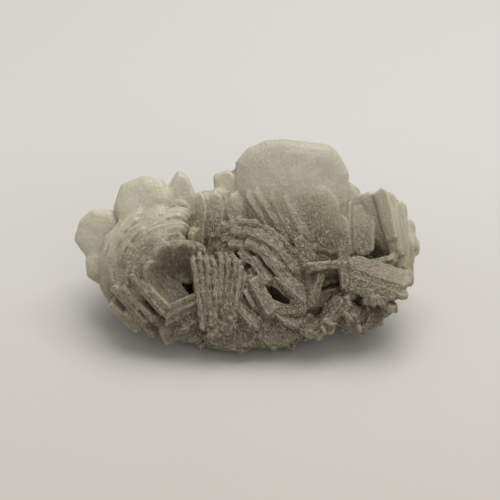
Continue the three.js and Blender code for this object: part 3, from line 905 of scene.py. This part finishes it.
def barite_finish(name, glow, plated=True, edged=True):
    """Pale grey-green crystal: painted highlights on its rims and edges, striped faces, a stained heart,
    clay and painted shade in the hollows, creases and gaps, and painted light on its left side.
    """
    material, tree = new_material(name)
    place = tree.add("ShaderNodeTexCoord")["Object"]
    wide, near = attribute(tree, "open_wide"), attribute(tree, "open_near")
    clouds = tree.noise(place, 90.0, 4.0)["Fac"]
    blotch = tree.noise(place, 320.0, 5.0, 0.7)["Fac"]
    specks = tree.noise(place, 2300.0, 4.0, 0.7)["Fac"]
    sugar = tree.add("ShaderNodeTexVoronoi", None, {"Vector": place, "Scale": 1300.0})["Distance"]
    depth = tree.stain_depth(place)
    stained = 1 - (depth + (clouds - 0.5) * 0.5).ramp(0.72, 1.28)
    if plated:
        grain = attribute(tree, "grain", "Vector")
        streaks = tree.noise(tree.vector("MULTIPLY", grain, FIBRES), 1.0, 3.0, 0.6)["Fac"]
        tint, rim = attribute(tree, "tint"), attribute(tree, "rim")
        clean = tint.ramp(1.2, 2.6)
        tint = tint.clamp() * (1 - clean)
        stained = stained * (1 - 0.33 * clean)
        specks = specks + 0.6 * stained * (streaks - specks)

    def over(body, share, tint_name):
        """A body colour with one of the tints laid over it."""
        return tree.mix(share, body, tree.mix(stained, *TINTS[tint_name]))

    clay = 0.0
    for across, up, out, far, dark in POCKETS:
        middle = tuple(STAND @ Vector((across, up, out)) * MM)
        away = tree.vector("DISTANCE", place, middle, out="Value")
        clay = (dark * (1 - away.ramp(0.35 * far * MM, far * MM))).math("MAXIMUM", clay)
    gritty = 0.22 + stained * (0.36 + 0.5 * stained + 0.8 * (1 - near).ramp(0.25, 0.55))
    # Painted light: a share that grows towards the left side, which is painted paler as if lit more
    # strongly.
    left_light_share = 1 - tree.add("ShaderNodeSeparateXYZ", None, {"Vector": place})["X"].ramp(-0.045, 0.012)
    body = tree.mix(clouds.ramp(0.35, 0.65), *PALE)
    body = tree.mix(0.5 * left_light_share, body, PAINTED_LEFT_LIGHT)
    body = tree.mix(stained.ramp(0, 0.6) * 0.85, body, WARM)
    body = tree.mix(stained, body, tree.mix(clouds.ramp(0.3, 0.7), *STAINED))
    body = tree.mix(0.5 * (1 - depth.ramp(0.3, 0.85)), body, DEEP)
    body = over(body, blotch.ramp(0.45, 0.75) * gritty * 0.45, "light blotch")
    body = over(body, (1 - blotch.ramp(0.25, 0.5)) * gritty * 0.4, "dark blotch")
    body = tree.mix((clay * (0.6 + 0.8 * blotch)).clamp(), body, CLAY)
    # Clay and painted shade: the less open a place is, the darker it is painted, for the clay and for the
    # shade in the hollows. The same share makes it rougher.
    stain = ((1 - wide).ramp(0.42, 0.74) * (0.5 + blotch)).clamp()
    body = tree.mix(stain * 0.85, body, HOLLOW_SHADE_AND_CLAY)
    # Painted shade: darker where the space close by is narrow, in the gaps between plates.
    body = tree.mix((1 - near).ramp(0.5, 0.85) * 0.45, body, GAP_SHADE)
    bumps = (specks - 0.5) * 0.9 + (blotch - 0.5) * 1.1 - sugar * 0.35
    if plated:
        lines = tree.noise(tree.vector("MULTIPLY", grain, GROWTH_LINES), 1.0, 4.0)["Fac"]
        body = over(body, (1 - lines.ramp(0.34, 0.52)) * gritty.clamp() * 0.65, "groove")
        # Painted highlight: each plate's rim is whitened where light catches it.
        body = over(body, rim * (0.15 + 0.6 * blotch), "rim")
        body = tree.mix(tint * 0.14, body, WHITER)
        body = over(body, tint.ramp(0.7, 0.9) * 0.2, "rosy plate")
        bumps = bumps + (lines - 0.5) * 0.9
    if edged:
        ridge = attribute(tree, "ridge")
        # Painted highlight: edges that stand out are lightened, most where the crystal is stained.
        worn = ridge.ramp(0.54, 0.8) * (0.12 + 0.88 * stained) * (0.35 + blotch)
        body = over(body, worn * 0.75, "worn edge")
        # Clay and painted shade: creases are darkened, most where the crystal is stained.
        body = over(body, (1 - ridge.ramp(0.2, 0.46)) * (0.12 + 0.68 * stained), "crease")
    # Pale specks: grains of the druse, and painted glints.
    body = over(body, (specks.ramp(0.52, 0.6) * gritty * 0.8).clamp(), "light speck")
    body = over(body, ((1 - specks.ramp(0.39, 0.48)) * gritty * 0.95).clamp(), "dark speck")
    relief = tree.add("ShaderNodeBump", None, {
        "Height": bumps * gritty, "Strength": 0.9, "Distance": 0.5 * MM})["Normal"]
    shader = tree.add("ShaderNodeBsdfPrincipled", None, {
        "Base Color": body, "Roughness": 0.56 - 0.3 * specks + 0.2 * stain, "Normal": relief, "IOR": 1.6,
        "Subsurface Weight": glow, "Subsurface Radius": (1.0, 1.0, 0.95), "Subsurface Scale": 2 * MM,
    })["BSDF"]
    tree.add("ShaderNodeOutputMaterial", None, {"Surface": shader})
    return material


def floor_finish():
    """A pale matt floor, with painted shade that makes it a little greyer towards the front."""
    material, tree = new_material("pale floor")
    place = tree.add("ShaderNodeTexCoord")["Object"]
    cloud = tree.noise(place, 9.0, 3.0)["Fac"]
    # Painted shade: the floor is painted darker towards the front, in place of the lamp's fall-off.
    far = tree.add("ShaderNodeSeparateXYZ", None, {"Vector": place})["Y"].ramp(-0.16, 0.12)
    tone = tree.mix((far + 0.2 * (cloud - 0.5)).clamp(), (0.45, 0.425, 0.385), (0.53, 0.523, 0.508))
    shader = tree.add("ShaderNodeBsdfPrincipled", None, {"Base Color": tone, "Roughness": 0.9})["BSDF"]
    tree.add("ShaderNodeOutputMaterial", None, {"Surface": shader})
    return material


def piece(name, mesh, finish):
    """A finished piece of the specimen that moves with its body, pressed flat where it meets the floor."""
    points = np.empty(len(mesh.vertices) * 3, np.float32)
    mesh.vertices.foreach_get("co", points)
    points[2::3] = np.maximum(points[2::3], 0)
    mesh.vertices.foreach_set("co", points)
    mesh.update()
    obj = bpy.data.objects.new(name, mesh)
    mesh.materials.clear()
    mesh.materials.append(finish)
    bpy.context.scene.collection.objects.link(obj)
    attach(obj, "root")
    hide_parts("barite_cluster")


def shape_collection(name, meshes):
    """Shapes for a tree to pick from. It is in no scene, so none of them shows."""
    shelf = bpy.data.collections.new(name)
    for k, mesh in enumerate(meshes):
        shelf.objects.link(bpy.data.objects.new(f"{name} {k:02d}", mesh))
    return shelf


def sliver_mesh(name, seed):
    """A thin six-sided blade that lies along x, one unit long, its tip lifted a little."""
    rim = [(-0.5, -0.16), (0.25, -0.22), (0.5, -0.05), (0.42, 0.14), (0.1, 0.22), (-0.5, 0.14)]
    points = []
    for height in (-0.11, 0.11):
        for i, (u, v) in enumerate(rim):
            worn = 1 + 0.35 * (chance(seed * 29 + i) - 0.5)
            points.append((u * worn, v * worn * (1 - height), height))
    count = len(rim)
    faces = [tuple(range(count - 1, -1, -1)), tuple(range(count, 2 * count))]
    faces += [(i, (i + 1) % count, (i + 1) % count + count, i + count) for i in range(count)]
    mesh = bpy.data.meshes.new(name)
    mesh.from_pydata(points, [], faces)
    return mesh


def root_mesh(node, inset):
    """The solid's own surface, a little inside the plates, so that no gap between them is empty."""
    mesh = bpy.data.meshes.new("cluster_root")
    verts = np.array([node.matrix_world @ v.co for v in node.data.vertices])
    _, first, back = np.unique(
        np.round(verts / TINY).astype(np.int64), axis=0, return_index=True, return_inverse=True)
    back = back.ravel()
    faces = [tuple(int(back[i]) for i in p.vertices) for p in node.data.polygons]
    faces = [f for f in faces if len(set(f)) == len(f)]
    mesh.from_pydata([tuple(v) for v in verts[first]], [], faces)
    moved = verts[first] - surface_of(mesh)[1] * inset
    moved[:, 2] = np.maximum(moved[:, 2], 0)
    mesh.vertices.foreach_set("co", moved.astype(np.float32).ravel())
    mesh.update()
    return mesh


def fuse(name, loose, cell, swell, grain, grain_size, soft, finish):
    """Loose plates as one skin, softened where it is pale, and marked for its finish."""
    shelf = bpy.data.objects.new(name + " loose", loose)
    mesh = run_tree(loose, skin, {
        "Plates": shelf, "Softening": soft, "Swell": swell * MM, "Swell size": 3 * MM,
        "Grain": grain * MM, "Grain size": grain_size * MM, "Finish": finish}, name, fused=cell * MM)
    bpy.data.objects.remove(shelf)
    mark_hollows(mesh, hollows)
    return mesh


def grow_over(name, mesh, tree, density, sizes, tilt, seed, finish):
    """Small crystals all over a mesh, so many to the square metre, as a piece of their own."""
    bits = run_tree(mesh, tree, {
        "Shapes": slivers, "Density": density, "Smallest": sizes[0] * MM, "Largest": sizes[1] * MM,
        "Tilt": tilt, "Seed": seed, "Finish": finish}, name)
    mark_hollows(bits, hollows)
    piece(name, bits, finish)


def light(name, place, aim, size, power, color):
    """A soft square lamp."""
    lamp = bpy.data.lights.new(name, "AREA")
    lamp.shape, lamp.size, lamp.energy, lamp.color = "SQUARE", size, power, color
    obj = bpy.data.objects.new(name, lamp)
    obj.location = place
    obj.rotation_euler = (Vector(aim) - Vector(place)).to_track_quat("-Z", "Y").to_euler()
    bpy.context.scene.collection.objects.link(obj)


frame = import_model()
solid = frame["nodes"]["barite_cluster"]
hollows = Openness(solid)

clear = barite_finish("clear barite", 0.7)
dull = barite_finish("dull barite", 0.15)
sprinkled = barite_finish("sprinkled barite", 0.7, edged=False)
druse = barite_finish("druse", 0.15, plated=False, edged=False)

plates = shape_collection("plate", [
    plate_mesh(f"{cut} {k}", cut, 3 * i + k) for i, cut in enumerate(sorted(CUTS)) for k in range(VARIANTS)])
slivers = shape_collection("sliver", [sliver_mesh(f"sliver {k}", k) for k in range(5)])
growing, skin = growing_tree(), skin_tree()
feathering = scatter_tree("feathering", "feather", True)
scatter = scatter_tree("druse", "grit", False)


def stud_leaves(seed, *where, **how):
    """Small seated blades as books of leaves."""
    return leaves(studs(hollows, *where, **how), STUD_LEAF, seed=seed)


def back_book(crystals, plans, region, stud_seed, seed):
    """The plates of one half of the back: its big crystals, its roses and the blades seated among them."""
    petals = [c for plan in plans for c in wall(**plan)]
    return (
        leaves(crystals, 1.1, seed=seed)
        + leaves(petals, 1.1, seed=seed + 1000)
        + stud_leaves(seed + 1500, region, 32, (7, 13), (0, 360), stud_seed, sink=0.0, side=-1, tilt=0.35))


# Druse crystals to the square metre where grit is thickest: in the stained middle, and elsewhere.
THICK_DRUSE, THIN_DRUSE = 1100000.0, 250000.0
# Each main piece: its book of plates, the cells that it is fused in, how rough its plates are, how much
# its pale parts are softened, its finish, and how thickly druse grows on it.
MAIN_PIECES = {
    "left_rose": (
        leaves(LEFT_COMBS, 1.1, seed=100)
        + petals_of(LEFT_WALL, 4, 2, 0.9, seed=1000)
        + leaves(BOWL, 0.9, seed=1500)
        + leaves(LEFT_PLATES, 1.0, seed=2000)
        + stud_leaves(2500, (-32, -24, -14, -19), 16, (3, 5.5), (-80, 40), 40),
        0.34, 0.5, 4, clear, THIN_DRUSE),
    "crown_combs": (
        leaves(CROWN, 1.2, seed=4000)
        + leaves(STEPS, 0.6, seed=4500),
        0.35, 0.3, 1, clear, THIN_DRUSE),
    "heart_blades": (
        leaves(ARCH, 0.7, 6, seed=5000)
        + leaves(HEART, 0.9, seed=6000)
        + leaves(RIBS, 1.3, seed=7500, fewest=1)
        + stud_leaves(5500, (-4, -11, 4, -3), 20, (2, 4), (-80, 60), 60)
        + stud_leaves(5600, (-6, -22, 4, -14), 12, (4, 8), (-64, -44), 61),
        0.28, 0.4, 0, dull, THICK_DRUSE),
    "keel_crystals": (
        leaves(KEEL, 1.2, seed=7000)
        + stud_leaves(7800, (-16, -28, 34, -20), 60, (2.6, 6), (-150, -20), 80, sink=0.3),
        0.36, 0.6, 0, dull, THICK_DRUSE),
    "right_rose": (
        leaves(RIGHT_SIDE, 0.9, seed=8000)
        + petals_of(RIGHT_WALL, 2, 1, 1.6, seed=9000)
        + leaves(FAN, 0.8, seed=9500)
        + stud_leaves(9700, (28, -22, 41, -13), 14, (3, 5.5), (-120, 0), 20),
        0.32, 0.5, 3, clear, THIN_DRUSE),
    "back_left_rose": (
        back_book([c for c in BACK if c["at"][0] < 5], BACK_WALLS[::2], (-31, -12, 0, 8), 90, 10000),
        0.5, 1.0, 0, clear, THIN_DRUSE),
    "back_right_rose": (
        back_book([c for c in BACK if c["at"][0] > 5], BACK_WALLS[1::2], (0, -12, 31, 8), 91, 12000),
        0.5, 1.0, 0, clear, THIN_DRUSE),
}
for name, (book, cell, rough, soft, finish, grit) in MAIN_PIECES.items():
    loose = run_tree(seeds_mesh(book), growing, {
        "Shapes": plates, "Ripple": 0.5 * MM, "Ripple size": 8 * MM, "Wear": 0.6 * rough * MM,
        "Wear size": 1.4 * MM, "Finish": finish}, name + " loose")
    mesh = fuse(name, loose, cell, 0.3 * rough, 0.22 * rough, 0.8, soft, finish)
    mark_edges(mesh)
    piece(name, mesh, finish)
    grow_over("growth_" + name, mesh, feathering, 400000.0, (0.4, 1.2), 0.5, 3, sprinkled)
    grow_over("druse_" + name, mesh, scatter, grit, (0.3, 0.7), 1.0, 5, druse)

root = fuse("cluster_root", root_mesh(solid, 0.6 * MM), 0.8, 0.4, 0.4, 1.2, 2, druse)
piece("cluster_root", root, druse)
grow_over("druse_cluster_root", root, scatter, 320000.0, (0.4, 1.2), 1.0, 7, druse)

# The floor's left, front, right and back, in metres.
LEFT, FRONT, RIGHT, REAR = -1.5, -1.0, 1.5, 2.5
sheet = bpy.data.meshes.new("floor")
corners = [(LEFT, FRONT, 0), (RIGHT, FRONT, 0), (RIGHT, REAR, 0), (LEFT, REAR, 0)]
sheet.from_pydata(corners, [], [(0, 1, 2, 3)])
sheet.materials.append(floor_finish())
floor = bpy.data.objects.new("floor", sheet)
bpy.context.scene.collection.objects.link(floor)

light("overhead", (0.16, 0.14, 0.88), (0, 0, 0.01), 0.75, 7.7, (1.0, 0.985, 0.955))
light("front fill", (0.3, -0.8, 0.6), (0, 0, 0.02), 0.7, 1.8, (1.0, 0.99, 0.98))
world = bpy.data.worlds.new("room")
world.use_nodes = True
world.node_tree.nodes["Background"].inputs["Color"].default_value = (0.95, 0.94, 0.92, 1)
world.node_tree.nodes["Background"].inputs["Strength"].default_value = 0.5
bpy.context.scene.world = world
bpy.context.scene.view_settings.view_transform = "Standard"

# The camera looks straight at the leaned-back face, a little to the right of its middle and below it.
CAMERA_FAR = 420
LENS = 110
AIM_RIGHT, AIM_DOWN = 1.79, 1.1
look = Vector((0, math.cos(LEAN_BACK), -math.sin(LEAN_BACK)))
upward = Vector((0, math.sin(LEAN_BACK), math.cos(LEAN_BACK)))
aim = Vector((AIM_RIGHT, -FACE_FORWARD, FACE_HEIGHT)) * MM - upward * AIM_DOWN * MM
camera = bpy.data.cameras.new("camera")
camera.lens = LENS
eye = bpy.data.objects.new("camera", camera)
eye.location = aim - look * CAMERA_FAR * MM
eye.rotation_euler = look.to_track_quat("-Z", "Y").to_euler()
bpy.context.scene.collection.objects.link(eye)
bpy.context.scene.camera = eye
